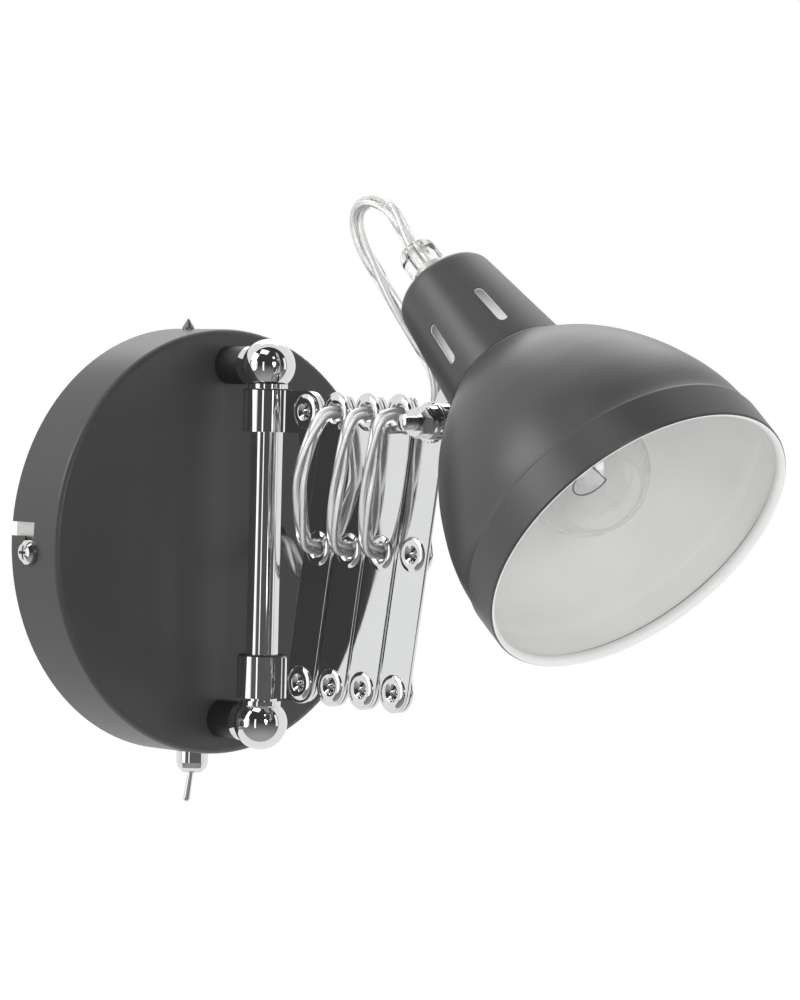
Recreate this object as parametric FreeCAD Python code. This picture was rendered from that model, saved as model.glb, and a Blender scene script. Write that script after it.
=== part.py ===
import FreeCAD, Part
import math
import os

# Accordion wall lamp: round wall canopy with a toggle switch, a chromed tube held between two
# balls, a lazy-tongs arm of flat struts that swings about the tube, and a bell-shaped lamp head.
# Millimetres. Origin: centre of the canopy's back on the wall. +Z up, the lamp reaches towards -Y.

V = FreeCAD.Vector
X, Y, Z = V(1, 0, 0), V(0, 1, 0), V(0, 0, 1)

# ---- clearances ----
RUN = 0.06            # radial running clearance of a pin in its hole
SEAT = 0.03           # radial gap of a piece pressed into its seat
AXIAL = 0.10          # end play of parts that turn on each other

# ---- canopy and what is in it ----
CANOPY_R = 80.0
CANOPY_DEPTH = 27.0
SHEET = 1.0           # sheet thickness of the canopy, the shade and the neck
CANOPY_EDGE_R = 2.2
FIXING_Y = -10.5      # line of the switch and the fixing screws, in front of the wall
FIXING_DROP = 4.0     # how far the side screws lie off the level centre line
SLOT_W = 5.2
SLOT_TOP = 7.1        # top of the axial leg of the bayonet slot
PLATE_T = 2.0
PLATE_H = 24.0
PLATE_GAP = 0.48      # between the corners of the wall plate and the canopy's sheet
PLATE_HALF = math.sqrt((CANOPY_R - SHEET) ** 2 - (PLATE_H / 2) ** 2) - PLATE_GAP
PLATE_HOLE_X = 30.0
PLATE_HOLE_R = 2.6
LEG_DEPTH = 17.0
GROMMET_X, GROMMET_Z = 24.0, 2.0
GROMMET_R, GROMMET_NECK_R = 5.2, 3.8
GROMMET_EASE, GROMMET_FLARE = 0.25, 1.0   # how much the bore is wider than the cable, inside and outside
GROMMET_LIP, GROMMET_NOSE = 1.2, 2.4      # flange behind the canopy's sheet, and the part before it
BLOCK = (20.0, 12.0, 16.0)                # terminal block: width, depth, height
BLOCK_HOLE_R, BLOCK_HOLE_DEPTH = 2.0, 3.0
BLOCK_HOLE_X, BLOCK_HOLE_Z = 4.6, 4.4
TIP_X, TIP_R, TIP_L = -6.7, 2.3, 3.9      # pointed screw on top of the canopy
TIP_SHANK, TIP_STEP, TIP_POINT_R = 5.0, 0.6, 0.25
TIP_NUT_AF, TIP_NUT_T = 7.0, 2.4
COVER_HEAD_R, COVER_HEAD_H, COVER_SHANK_R, COVER_SHANK_L = 4.6, 2.9, 2.1, 7.0
THROUGH = 20.0        # length of a cutting tool that goes right through

# ---- switch ----
SWITCH_BODY = (17.0, 12.5, 21.0)
SWITCH_NUT_R = 6.1
SWITCH_NUT_H = 8.0
SWITCH_BUSH_R, SWITCH_BUSH_L = 4.4, 12.5
SWITCH_IN = 6.5       # the switch's body ends this far inside the canopy's outside
SWITCH_EASE = 0.1
BACK_NUT_AF, BACK_NUT_T = 13.0, 2.0
TERMINAL_X, TERMINAL_L, TERMINAL_W, TERMINAL_T = 4.5, 5.0, 2.0, 0.8
SWITCH_BORE = (1.7, 3.4, 9.5)             # bore for the lever: inner and outer radius, length
SWITCH_NECK_R = 3.2                       # mouth of the nut
LEVER_BALL_R, LEVER_PIN_R, LEVER_PIN_HALF, LEVER_ROOT_R = 1.9, 0.6, 2.6, 0.95
LEVER_PIVOT = 3.0     # pivot of the lever above the end of the nut
LEVER_OUT = 12.0      # lever length outside the nut
LEVER_R = 1.35
LEVER_LEAN = 12.0     # degrees from straight down, each way

# ---- upright tube, balls and their stand-offs ----
TUBE_Y = -49.7
TUBE_R, TUBE_WALL = 6.0, 1.0
BALL_R = 10.0
BALL_FLAT = 8.4       # from ball centre to the flat that faces the sleeve
COLLAR_R = 7.4        # rim of each flat
BALL_BACK = 9.9       # from ball centre to the flat that faces the wall
TUBE_IN_BALL = 3.5    # the tube's seat in each ball, from the flat
BUSH_R, BUSH_BORE_R = 7.1, 2.7
STUD_R, STUD_HEAD_R, STUD_HEAD_H = 2.5, 4.4, 2.6
STUD_IN_BALL = 4.6
STUD_HEX, STUD_HEX_DEPTH = 3.0, 2.0
GRUB_R, GRUB_DEPTH, GRUB_SUNK, GRUB_HEX = 2.1, 3.0, 0.9, 2.0

# ---- arm ----
HALF = 50.7           # strut hole to strut hole
TILT = 9.65           # degrees a strut leans from upright as shown
MID_Z = 0.017         # level of the middle pivots
FIRST_OUT = 23.4      # tube centre to first pivot
HEAD_HALF = 48.0      # middle hole to lamp bolt, on the last long strut
CELLS = 3
BAR_W, BAR_T = 15.0, 1.5
LAYER = 0.15          # each layer of struts stands this far off the middle plane
SLEEVE_R, SLEEVE_WALL, SLEEVE_H = 9.2, 1.5, 16.0
LINER_LIP = 0.5
LINER_RIM = 0.5       # the liner's lip ends this far inside the sleeve's outside
LOWER_SHIFT = 1.0     # the lower sleeve sits this much higher on its pivot
LOWER_ROOM = 1.135    # between the lower sleeve and the lower ball, for closing the arm further
EYE_R, EYE_WALL = 3.2, 0.7
RIVET_R, RIVET_WALL = 1.9, 1.1
RIVET_MOUTH_R, RIVET_CONE, RIVET_FLOOR = 3.3, 1.5, 0.6   # conical mouth of a rivet, its depth, the closed end
EYE_FREE = 0.1        # extra room where an eyelet stands for an opened pivot
FLANGE_R, FLANGE_T = 6.5, 0.9

# ---- cable ----
CABLE_R = 2.6
OUT_X = 9.6           # the stretches behind the arm stand this far off its middle plane
EXIT = 6.2            # straight part of the cable where it leaves an eyelet
TURN = 3.4            # it then turns along the arm in two steps of this size
WALL_RUN = [(24.0, -33.5, 2.0), (20.0, -43.5, -4.0), (12.6, -57.0, -6.6), (10.4, -66.2, 1.0), (9.8, -73.2, 11.4),
            (9.4, -78.4, 23.6)]           # corners between the grommet and the first eyelet
WALL_RUN_LAST = (9.8, 4.2, -13.0)         # its last corner, from that eyelet
FIRST_WAY = V(0, 0.3, -1.0)               # the way the cable comes into it
LOOPS = ((15.0, 0.55, EXIT), (11.6, 0.8, EXIT), (12.0, 0.7, EXIT + 1.4))   # bulge, sag, straight part
BACK_X, BACK_LOW, BACK_HIGH = OUT_X + 0.4, (-5.5, 13.0), (6.5, -14.0)      # corners behind the arm
RISE_WAY, RISE = V(0, -0.42, 0.9), (9.6, -7.0, 14.0)                       # start of the way up to the head
JOINT_OFF, JOINT_WAY = V(8.8, 14.5, -11.34), V(-0.2, -1.9, 9.0)            # from the lamp bolt
HEAD_LOOP = [(10.5, 6.84, 13.66), (6.5, 23.64, 36.66), (5.0, 37.84, 53.66), (3.0, 46.04, 65.66),
             (1.4, 46.34, 76.06), (0.2, 37.14, 80.26), (0, 26.14, 77.26), (0, 18.84, 68.86)]
GLAND_STRAIGHT = 10.7                     # straight part of the cable before the gland

# ---- lamp head: distances S run along the head's axis from the shade's mouth ----
BOLT_S, BOLT_OFF = 103.65, 38.37          # the lamp bolt: along the head's axis and off it
AXIS_DOWN = 40.61     # degrees the mouth points below level
MOUTH_R = 58.8
HEM, HEM_T, HEM_IN_R, HEM_OUT_R = 4.2, 1.6, 0.6, 0.7
BEAD_S, BAND_DRAFT = 15.0, 0.1
DOME = [(16.0, 59.3), (28.0, 57.2), (42.0, 52.9), (56.0, 46.6), (68.0, 38.9), (77.0, 31.0),
        (82.4, 25.4)]
CROWN_S, CROWN_HOLE_R = 84.3, 14.4
CROWN_IN, CROWN_CORNER = 1.6, 0.5         # the flat crown ends this far inside the neck's foot
NECK_FOOT_R, NECK_TOP_R, NECK_TOP_S, NECK_EDGE_R = 24.1, 18.7, 132.7, 3.8
VENTS, VENT_S, VENT_L, VENT_W = 6, 101.5, 19.0, 3.6
VENT_TOOL = 40.0
GLAND_R, GLAND_L, GLAND_EDGE_R = 7.0, 20.0, 1.8
NIPPLE_R, NIPPLE_WALL, NIPPLE_S, NIPPLE_L = 5.0, 1.5, 122.0, 20.0
NUT_T, GLAND_NUT_AF = 3.0, 14.0
HOLDER_R, HOLDER_END = 14.0, 62.0
SHOULDER_R, SHOULDER_T = 17.5, 2.0
HOLDER_NECK_R, HOLDER_SLOPE, HOLDER_DRAFT = 7.0, 4.0, 0.8
RING_R, RING_H, RING_NOTCHES, RING_NOTCH_R, RING_NOTCH_OUT = 19.0, 4.0, 12, 1.0, 0.2
SOCKET_R, SOCKET_FLOOR = 8.4, 91.6
BULB_S, BULB_R, GLASS = 36.0, 22.5, 0.7
BULB_NECK = [(53.5, 12.9), (59.0, 8.6)]
CAP_R, CAP_S, CAP_END = 6.9, 65.0, 88.6
CAP_IN, GLASS_IN_CAP, GLASS_END = 0.2, 0.25, 1.5
THREADS, THREAD_PITCH, THREAD_RISE, THREAD_DEEP = 6, 2.6, 0.15, 0.35
STEM = [(4.6, 0.0), (2.6, 4.5), (1.5, 14.5), (1.2, 20.5), (2.0, 22.5), (1.2, 24.0)]   # radius, from the cap
LEAD_R, LEAD_L, LEAD_X, LEAD_S, LEAD_SPREAD, COIL_R = 0.3, 19.0, 1.5, 50.0, 0.32, 0.28

# ---- lamp bolt ----
BOLT_R, BOLT_END, BOLT_HEAD_AF, BOLT_HEAD_T = 2.95, -15.7, 10.0, 4.0
NUT_AF, NUT_IN, NUT_OUT = 10.0, -4.7, -9.9
NUT_TURN, NUT_CHAMFER_R, NUT_CHAMFER = 12.0, 5.0, 0.9
DISC_R, DISC_T, DISC_TEETH, TOOTH_R = 7.2, 1.2, 24, 0.45
WASHER_R = 6.2
EAR_IN, EAR_T, EAR_END_R, EAR_HALF, EAR_FOOT = 3.2, 3.0, 7.0, 11.0, 15.0
HANDLE_R, HANDLE_L, HANDLE_DROP, HANDLE_X = 1.5, 19.5, 2.3, -6.5
HANDLE_IN, HANDLE_FALL, HANDLE_EDGE_R, HANDLE_SEAT = 3.7, 0.05, 0.5, 8.0

# ---- places that follow from the sizes ----
lean = math.radians(TILT)
PITCH = 2 * HALF * math.sin(lean)
TOP_Z = MID_Z + HALF * math.cos(lean)
LOW_Z = MID_Z - HALF * math.cos(lean)
BALL_UP_Z = TOP_Z + SLEEVE_H / 2 + AXIAL + BALL_FLAT
BALL_LOW_Z = LOW_Z + LOWER_SHIFT - SLEEVE_H / 2 - LOWER_ROOM - BALL_FLAT
TUBE_TOP, TUBE_FOOT = BALL_UP_Z - BALL_FLAT + TUBE_IN_BALL, BALL_LOW_Z + BALL_FLAT - TUBE_IN_BALL

os.makedirs("parts", exist_ok=True)


def save(name, *shapes):
    whole = shapes[0] if len(shapes) == 1 else Part.makeCompound(list(shapes))
    if not whole.isValid():
        print("NOT VALID", name)
    whole.exportStep("parts/" + name + ".step")
    print(name, len(whole.Solids), round(whole.Volume, 1))


def rod(r, length, base, axis):
    return Part.makeCylinder(r, length, base, axis)


def pipe(r_out, r_in, length, base, axis):
    return rod(r_out, length, base, axis).cut(rod(r_in, length, base, axis))


def block(x0, x1, y0, y1, z0, z1):
    return Part.makeBox(x1 - x0, y1 - y0, z1 - z0, V(x0, y0, z0))


def turned(profile, axis=Z, centre=V(0, 0, 0)):
    """A closed outline of (distance along the axis, radius) turned about that axis."""
    side = X if axis == Z else Z
    wire = Part.makePolygon([axis * a + side * r for a, r in profile + profile[:1]])
    out = Part.Face(wire).revolve(V(0, 0, 0), axis, 360)
    out.translate(centre)
    return out


def hexagon(across, length, base, axis, turn=0.0):
    r = across / math.sqrt(3)
    side = X if abs(axis.z) > 0.9 else Z
    other = axis.cross(side)
    pts = [base + side * (r * math.cos(math.radians(60 * i + turn)))
           + other * (r * math.sin(math.radians(60 * i + turn))) for i in range(7)]
    return Part.Face(Part.makePolygon(pts)).extrude(axis * length)


def solid(shape):
    return shape.Solids[0] if len(shape.Solids) == 1 else shape


def tube_path(points):
    """Straight runs joined by tangent arcs, each as large as its two runs allow."""
    pts = [V(*p) for p in points]
    runs = [(b - a).Length for a, b in zip(pts, pts[1:])]
    edges, at, radii, length = [], pts[0], [], 0.0
    for i in range(1, len(pts) - 1):
        a = (pts[i] - pts[i - 1]).normalize()
        b = (pts[i + 1] - pts[i]).normalize()
        half = a.getAngle(b) / 2
        cut = 0.45 * min(runs[i - 1], runs[i])
        radius = cut / math.tan(half)
        radii.append(round(radius, 1))
        p, q = pts[i] - a * cut, pts[i] + b * cut
        inward = (b - a).normalize()
        mid = pts[i] + inward * (radius / math.cos(half) - radius)
        edges += [Part.LineSegment(at, p).toShape(), Part.Arc(p, mid, q).toShape()]
        length += (p - at).Length + radius * 2 * half
        at = q
    edges.append(Part.LineSegment(at, pts[-1]).toShape())
    return Part.Wire(edges), radii, length + (pts[-1] - at).Length


def cable(name, points):
    wire, radii, length = tube_path(points)
    start = V(*points[0])
    way = (V(*points[1]) - start).normalize()
    ring = Part.Wire(Part.makeCircle(CABLE_R, start, way))
    tube = wire.makePipeShell([ring], True, False)
    share = tube.Volume / (math.pi * CABLE_R ** 2 * length)
    print(name, "length", round(length, 1), "volume share", round(share, 4), "radii", radii)
    save(name, solid(tube))


def inside_z(x):
    """Height at which a flat nut reaching to x meets the canopy's curved inside."""
    return math.sqrt((CANOPY_R - SHEET) ** 2 - x ** 2) - SEAT


# ---- canopy ----
def pan(r, depth, edge, y0):
    body = rod(r, depth, V(0, y0, 0), -Y)
    rim = [e for e in body.Edges if len(e.Vertexes) == 1 and e.BoundBox.YMax < y0 - depth + 0.1]
    return body.makeFillet(edge, rim)


canopy = pan(CANOPY_R, CANOPY_DEPTH, CANOPY_EDGE_R, 0).cut(
    pan(CANOPY_R - SHEET, CANOPY_DEPTH - SHEET, CANOPY_EDGE_R - SHEET, 0))
for side in (-1, 1):
    # bayonet slot: an axial leg open at the wall, then a leg along the rim to the screw
    reach = (CANOPY_R - 4, CANOPY_R + 4)
    near, far = min(side * reach[0], side * reach[1]), max(side * reach[0], side * reach[1])
    zs = sorted((-side * (SLOT_TOP - SLOT_W), -side * SLOT_TOP))
    canopy = canopy.cut(block(near, far, FIXING_Y - SLOT_W / 2, 1, zs[0], zs[1]))
    zs = sorted((-side * SLOT_TOP, side * (FIXING_DROP + SLOT_W / 2)))
    canopy = canopy.cut(block(near, far, FIXING_Y - SLOT_W / 2, FIXING_Y + SLOT_W / 2, zs[0], zs[1]))
for z in (BALL_UP_Z, BALL_LOW_Z):
    canopy = canopy.cut(rod(BUSH_BORE_R, 10, V(0, -CANOPY_DEPTH + 5, z), -Y))
canopy = canopy.cut(rod(GROMMET_NECK_R, 10, V(GROMMET_X, -CANOPY_DEPTH + 5, GROMMET_Z), -Y))
canopy = canopy.cut(rod(SWITCH_BUSH_R, 10, V(0, FIXING_Y, -CANOPY_R + 5), -Z))
tip_z = math.sqrt(CANOPY_R ** 2 - TIP_X ** 2)
canopy = canopy.cut(rod(TIP_R, 10, V(TIP_X, FIXING_Y, tip_z - 5), Z))
save("canopy_cover", solid(canopy))

tip = turned([(-TIP_SHANK, 0), (-TIP_SHANK, TIP_R - SEAT), (TIP_STEP, TIP_R - SEAT), (TIP_L, TIP_POINT_R), (TIP_L, 0)])
tip.translate(V(TIP_X, FIXING_Y, tip_z))
lock_z = inside_z(abs(TIP_X) + TIP_NUT_AF / math.sqrt(3))
lock = hexagon(TIP_NUT_AF, TIP_NUT_T, V(TIP_X, FIXING_Y, lock_z), -Z).cut(
    rod(TIP_R - SEAT, THROUGH, V(TIP_X, FIXING_Y, lock_z - THROUGH / 2), Z))
save("tip_screw", solid(tip))
save("tip_screw_nut", solid(lock))

plate = block(-PLATE_HALF, PLATE_HALF, -PLATE_T, 0, -PLATE_H / 2, PLATE_H / 2)
for side in (-1, 1):
    xs = sorted((side * PLATE_HALF, side * (PLATE_HALF - PLATE_T)))
    plate = plate.fuse(block(xs[0], xs[1], -LEG_DEPTH, 0, -PLATE_H / 2, PLATE_H / 2))
    plate = plate.cut(rod(COVER_SHANK_R + SEAT, 10, V(side * (PLATE_HALF + 4), FIXING_Y, side * FIXING_DROP),
                          X * -side))
    plate = plate.cut(rod(PLATE_HOLE_R, 10, V(side * PLATE_HOLE_X, 4, 0), -Y))
save("wall_plate", solid(plate.removeSplitter()))


def cross_screw(head_r, head_h, shank_r, shank_l):
    """Pan head above z = 0 with a cross recess, shank below."""
    head = turned([(0, 0), (0, head_r), (head_h * 0.45, head_r * 0.97), (head_h * 0.85, head_r * 0.72),
                   (head_h, head_r * 0.3), (head_h, 0)])
    arm, width, deep = head_r * 0.55, head_r * 0.22, head_h * 0.6
    for a, b in ((arm, width / 2), (width / 2, arm)):
        head = head.cut(block(-a, a, -b, b, head_h - deep, head_h + 1))
    return head.fuse(rod(shank_r, shank_l, V(0, 0, 0), -Z))


screws = []
for side in (-1, 1):
    s = cross_screw(COVER_HEAD_R, COVER_HEAD_H, COVER_SHANK_R, COVER_SHANK_L)
    s.rotate(V(0, 0, 0), Y, side * 90)
    s.translate(V(side * CANOPY_R, FIXING_Y, side * FIXING_DROP))
    screws.append(solid(s))
save("cover_screws", *screws)

bore_in, bore_out = CABLE_R + GROMMET_EASE, CABLE_R + GROMMET_FLARE
grommet = turned([(SHEET + GROMMET_LIP, bore_in), (SHEET + GROMMET_LIP, GROMMET_R), (SHEET, GROMMET_R),
                  (SHEET, GROMMET_NECK_R - SEAT), (0, GROMMET_NECK_R - SEAT), (0, GROMMET_R),
                  (-0.4 * GROMMET_NOSE, GROMMET_R), (-GROMMET_NOSE, GROMMET_R - 1.1),
                  (-GROMMET_NOSE, bore_out), (0, bore_in)], axis=Y)
grommet.translate(V(GROMMET_X, -CANOPY_DEPTH, GROMMET_Z))
save("cable_grommet", solid(grommet))

# ---- terminal block on the wall plate, with the cable's inner end against it ----
bx, by, bz = BLOCK
terminal = block(-bx / 2, bx / 2, -by, 0, -bz / 2, bz / 2)
for i in (-1, 1):
    for k in (-1, 1):
        terminal = terminal.cut(rod(BLOCK_HOLE_R, BLOCK_HOLE_DEPTH, V(i * BLOCK_HOLE_X, -by, k * BLOCK_HOLE_Z), Y))
terminal.translate(V(GROMMET_X, -PLATE_T, 0))
save("terminal_block", solid(terminal))

# ---- toggle switch ----
sx, sy, sz = SWITCH_BODY
face_z = SWITCH_IN - CANOPY_R
body = block(-sx / 2, sx / 2, FIXING_Y - sy / 2, FIXING_Y + sy / 2, face_z, face_z + sz)
body = body.fuse(rod(SWITCH_BUSH_R - SEAT, SWITCH_BUSH_L, V(0, FIXING_Y, face_z + SWITCH_EASE), -Z))
pivot_z = LEVER_PIVOT - CANOPY_R - SWITCH_NUT_H
bore_in, bore_out, bore_l = SWITCH_BORE
body = body.cut(Part.makeCone(bore_in, bore_out, bore_l, V(0, FIXING_Y, pivot_z + bore_l - LEVER_PIVOT + SWITCH_EASE * 5), -Z))
for i in (-1, 1):
    tab = TERMINAL_W / 2
    body = body.fuse(block(i * TERMINAL_X - tab, i * TERMINAL_X + tab, FIXING_Y - TERMINAL_T / 2,
                           FIXING_Y + TERMINAL_T / 2, face_z + sz, face_z + sz + TERMINAL_L))
save("switch_body", solid(body.removeSplitter()))
back_nut = hexagon(BACK_NUT_AF, BACK_NUT_T, V(0, FIXING_Y, -inside_z(BACK_NUT_AF / math.sqrt(3))), Z).cut(
    rod(SWITCH_BUSH_R, THROUGH, V(0, FIXING_Y, -CANOPY_R - THROUGH / 2), Z))
save("switch_back_nut", solid(back_nut))
n, h, m = SWITCH_NUT_R, SWITCH_NUT_H, SWITCH_NECK_R
seat = 0.78 * h
dome = turned([(0, SWITCH_BUSH_R), (0, n), (-0.53 * h, n), (-seat, n * 0.9), (-0.93 * h, n * 0.72), (-h, n * 0.65),
               (-h, m), (-seat, m), (-seat, SWITCH_BUSH_R)])
dome.translate(V(0, FIXING_Y, -CANOPY_R))
save("switch_nut", solid(dome))
stick = LEVER_OUT + LEVER_PIVOT - LEVER_R
lever = Part.makeSphere(LEVER_BALL_R).fuse(Part.makeCone(LEVER_ROOT_R, LEVER_R, stick, V(0, 0, 0), -Z))
lever = lever.fuse(Part.makeSphere(LEVER_R, V(0, 0, -stick)))
lever = lever.fuse(rod(LEVER_PIN_R, 2 * LEVER_PIN_HALF, X * -LEVER_PIN_HALF, X))
lever.rotate(V(0, 0, 0), X, LEVER_LEAN)
lever.translate(V(0, FIXING_Y, pivot_z))
save("switch_lever", solid(lever))

# ---- balls, stand-offs and tube ----
def ball(sign):
    b = Part.makeSphere(BALL_R)
    b = b.fuse(rod(COLLAR_R, BALL_FLAT, V(0, 0, 0), Z * -sign))
    b = b.fuse(rod(COLLAR_R, BALL_BACK, V(0, 0, 0), Y))
    b = b.cut(block(-20, 20, BALL_BACK, 20, -20, 20))
    far = sorted((-sign * BALL_FLAT, -sign * 20))
    b = b.cut(block(-20, 20, -20, 20, far[0], far[1]))
    b = b.cut(rod(TUBE_R + SEAT, THROUGH, V(0, 0, sign * (TUBE_IN_BALL - BALL_FLAT)), Z * -sign))
    b = b.cut(rod(STUD_R, STUD_IN_BALL, V(0, BALL_BACK - STUD_IN_BALL, 0), Y))
    return b


for name, sign, level in (("ball_upper", 1, BALL_UP_Z), ("ball_lower", -1, BALL_LOW_Z)):
    b = ball(sign)
    if sign < 0:
        b = b.cut(rod(GRUB_R, GRUB_DEPTH + 1, V(-BALL_R - 1, 0, 0), X))
    b.translate(V(0, TUBE_Y, level))
    save(name, solid(b))
grub_base = V(-BALL_R + GRUB_DEPTH, TUBE_Y, BALL_LOW_Z)
grub = rod(GRUB_R - SEAT, GRUB_DEPTH - GRUB_SUNK, grub_base, -X)
grub = grub.cut(hexagon(GRUB_HEX, GRUB_DEPTH, grub_base - X * (GRUB_DEPTH - GRUB_SUNK) * 0.4, -X))
save("ball_grub_screw", solid(grub))

bush_front = TUBE_Y + BALL_BACK
bushes, studs = [], []
for z in (BALL_UP_Z, BALL_LOW_Z):
    bushes.append(pipe(BUSH_R, BUSH_BORE_R, -CANOPY_DEPTH - bush_front, V(0, -CANOPY_DEPTH, z), -Y))
    inner = -CANOPY_DEPTH + SHEET
    head = rod(STUD_HEAD_R, STUD_HEAD_H, V(0, inner, z), Y)
    head = head.cut(hexagon(STUD_HEX, STUD_HEX_DEPTH, V(0, inner + STUD_HEAD_H, z), -Y))
    studs.append(solid(head.fuse(rod(STUD_R - SEAT, inner - bush_front + STUD_IN_BALL - AXIAL, V(0, inner, z), -Y))))
save("standoff_bushes", *bushes)
save("standoff_screws", *studs)
save("slide_tube", pipe(TUBE_R, TUBE_R - TUBE_WALL, TUBE_TOP - TUBE_FOOT, V(0, TUBE_Y, TUBE_FOOT), Z))

# ---- arm geometry: pivots in the plane x = 0 ----
def top(k):
    return V(0, TUBE_Y - FIRST_OUT - PITCH * k, TOP_Z)


def middle(k):
    return V(0, TUBE_Y - FIRST_OUT - PITCH * (k + 0.5), MID_Z)


def low(k):
    return V(0, TUBE_Y - FIRST_OUT - PITCH * k, LOW_Z)


STACK = LAYER + BAR_T
FRONT, BACK = -STACK, LAYER          # near faces, along X, of the two layers
bolt_at = middle(CELLS) + (top(CELLS + 1) - middle(CELLS)).normalize() * HEAD_HALF
head_down = math.radians(AXIS_DOWN)
HEAD_AXIS = V(0, math.cos(head_down), math.sin(head_down))        # from the shade's mouth to the gland
HEAD_SIDE = V(0, math.sin(head_down), -math.cos(head_down))       # square to it, towards the lamp bolt
MOUTH = bolt_at - HEAD_AXIS * BOLT_S - HEAD_SIDE * BOLT_OFF
print("pitch", round(PITCH, 3), "middle", MID_Z, "low", LOW_Z, "bolt", bolt_at)


def strut(a, b, x0, holes):
    """Flat bar with fully rounded ends round a and b; holes are (centre, radius)."""
    r = BAR_W / 2
    along = (b - a).normalize()
    across = along.cross(X) * r
    base = X * x0
    pts = [a + across, b + across, b + along * r, b - across, a - across, a - along * r]
    pts = [p + base for p in pts]
    wire = Part.Wire([Part.LineSegment(pts[0], pts[1]).toShape(), Part.Arc(pts[1], pts[2], pts[3]).toShape(),
                      Part.LineSegment(pts[3], pts[4]).toShape(), Part.Arc(pts[4], pts[5], pts[0]).toShape()])
    bar = Part.Face(wire).extrude(X * BAR_T)
    for c, hole in holes:
        bar = bar.cut(rod(hole, THROUGH, c - X * (THROUGH / 2), X))
    return bar


def pivot(centre, bore, wall, seated_front, seated_back, blind=False):
    """Hollow rivet through both layers. A flange that isn't seated has end play.
    A blind one has a conical mouth in front and a closed head behind."""
    f = STACK + (0 if seated_front else AXIAL)
    b = STACK + (0 if seated_back else AXIAL)
    t, r, o = FLANGE_T, FLANGE_R, bore + wall
    if blind:
        inside = [(b + t, 0), (b - RIVET_FLOOR, 0), (b - RIVET_FLOOR, bore), (RIVET_CONE - f - t, bore)]
        mouth, shoulder = [(-f - t, RIVET_MOUTH_R)], [(b + t, r * 0.4)]
    else:
        inside = [(b + t * 0.8, bore), (-f - t * 0.55, bore)]
        mouth, shoulder = [(-f - t, bore + t)], [(b + t, bore + t)]
    return turned(inside + mouth + [(-f - t, r * 0.77), (-f - t * 0.45, r), (-f, r), (-f, o), (b, o),
                                    (b, r * 0.94), (b + t * 0.6, r * 0.89)] + shoulder, axis=X, centre=centre)


EYE_O, RIVET_O = EYE_R + EYE_WALL, RIVET_R + RIVET_WALL
for k in range(CELLS + 1):
    # rising strut of the front layer: low(k) - middle(k) - top(k + 1)
    last = k == CELLS
    end = bolt_at if last else top(k + 1)
    mid_o = RIVET_O if last else EYE_O
    end_hole = BOLT_R + RUN if last else EYE_O + SEAT
    save("strut_rising_%d" % k,
         strut(low(k), end, FRONT, [(low(k), RIVET_O + SEAT), (middle(k), mid_o + SEAT), (end, end_hole)]))
    rivets = [pivot(low(k), RIVET_R, RIVET_WALL, True, False, True)]
    if last:
        rivets.append(pivot(middle(k), RIVET_R, RIVET_WALL, True, False, True))
    else:
        rivets += [pivot(c, EYE_R, EYE_WALL, True, False) for c in (middle(k), top(k + 1))]
    save("rivets_rising_%d" % k, *rivets)
for k in range(CELLS + 1):
    # falling strut of the back layer: top(k) - middle(k) - low(k + 1); the last one ends at its middle
    last = k == CELLS
    end = middle(k) if last else low(k + 1)
    top_hole = RIVET_O + SEAT if k == 0 else EYE_O + RUN + EYE_FREE
    holes = [(top(k), top_hole), (middle(k), (RIVET_O if last else EYE_O) + RUN)]
    if not last:
        holes.append((end, RIVET_O + RUN))
    save("strut_falling_%d" % k, strut(top(k), end, BACK, holes))
save("rivet_falling_0", pivot(top(0), RIVET_R, RIVET_WALL, False, True, True))


# ---- sleeves on the tube: a rolled strap with a rounded tab, over a plastic liner ----
def sleeve(pin, x0, bottom, pin_hole, lip_up):
    height = SLEEVE_H - LINER_LIP
    z0 = bottom if lip_up else bottom + LINER_LIP
    ring = rod(SLEEVE_R, height, V(0, TUBE_Y, z0), Z)
    tab = block(x0, x0 + BAR_T, pin.y, TUBE_Y, z0, z0 + height)
    nose = rod(height / 2, BAR_T, V(x0, pin.y, z0 + height / 2), X)
    strap = ring.fuse(tab).fuse(nose)
    strap = strap.cut(rod(SLEEVE_R - SLEEVE_WALL, height, V(0, TUBE_Y, z0), Z))
    strap = strap.cut(rod(pin_hole, THROUGH, pin - X * (THROUGH / 2), X))
    liner = rod(SLEEVE_R - SLEEVE_WALL - SEAT, height, V(0, TUBE_Y, z0), Z)
    lip_z = z0 + height if lip_up else z0 - LINER_LIP
    liner = liner.fuse(rod(SLEEVE_R - LINER_RIM, LINER_LIP, V(0, TUBE_Y, lip_z), Z))
    liner = liner.cut(rod(TUBE_R + RUN, 2 * SLEEVE_H, V(0, TUBE_Y, bottom - SLEEVE_H / 2), Z))
    return solid(strap.removeSplitter()), solid(liner.removeSplitter())


strap, liner = sleeve(top(0), FRONT, TOP_Z - SLEEVE_H / 2, RIVET_O + RUN, True)
save("sleeve_upper", strap)
save("sleeve_upper_liner", liner)
strap, liner = sleeve(low(0), BACK, LOW_Z - SLEEVE_H / 2 + LOWER_SHIFT, RIVET_O + RUN, True)
save("sleeve_lower", strap)
save("sleeve_lower_liner", liner)


# ---- lamp head, made upright along Z and then leant back ----
def head_place(shape):
    shape.rotate(V(0, 0, 0), X, AXIS_DOWN - 90)
    shape.translate(MOUTH)
    return shape


def to_head(p):
    rel = p - MOUTH
    return V(rel.x, rel.dot(HEAD_SIDE), rel.dot(HEAD_AXIS))


def spline_edge(points):
    curve = Part.BSplineCurve()
    curve.interpolate([V(r, 0, s) for s, r in points])
    return curve.toShape()


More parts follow.
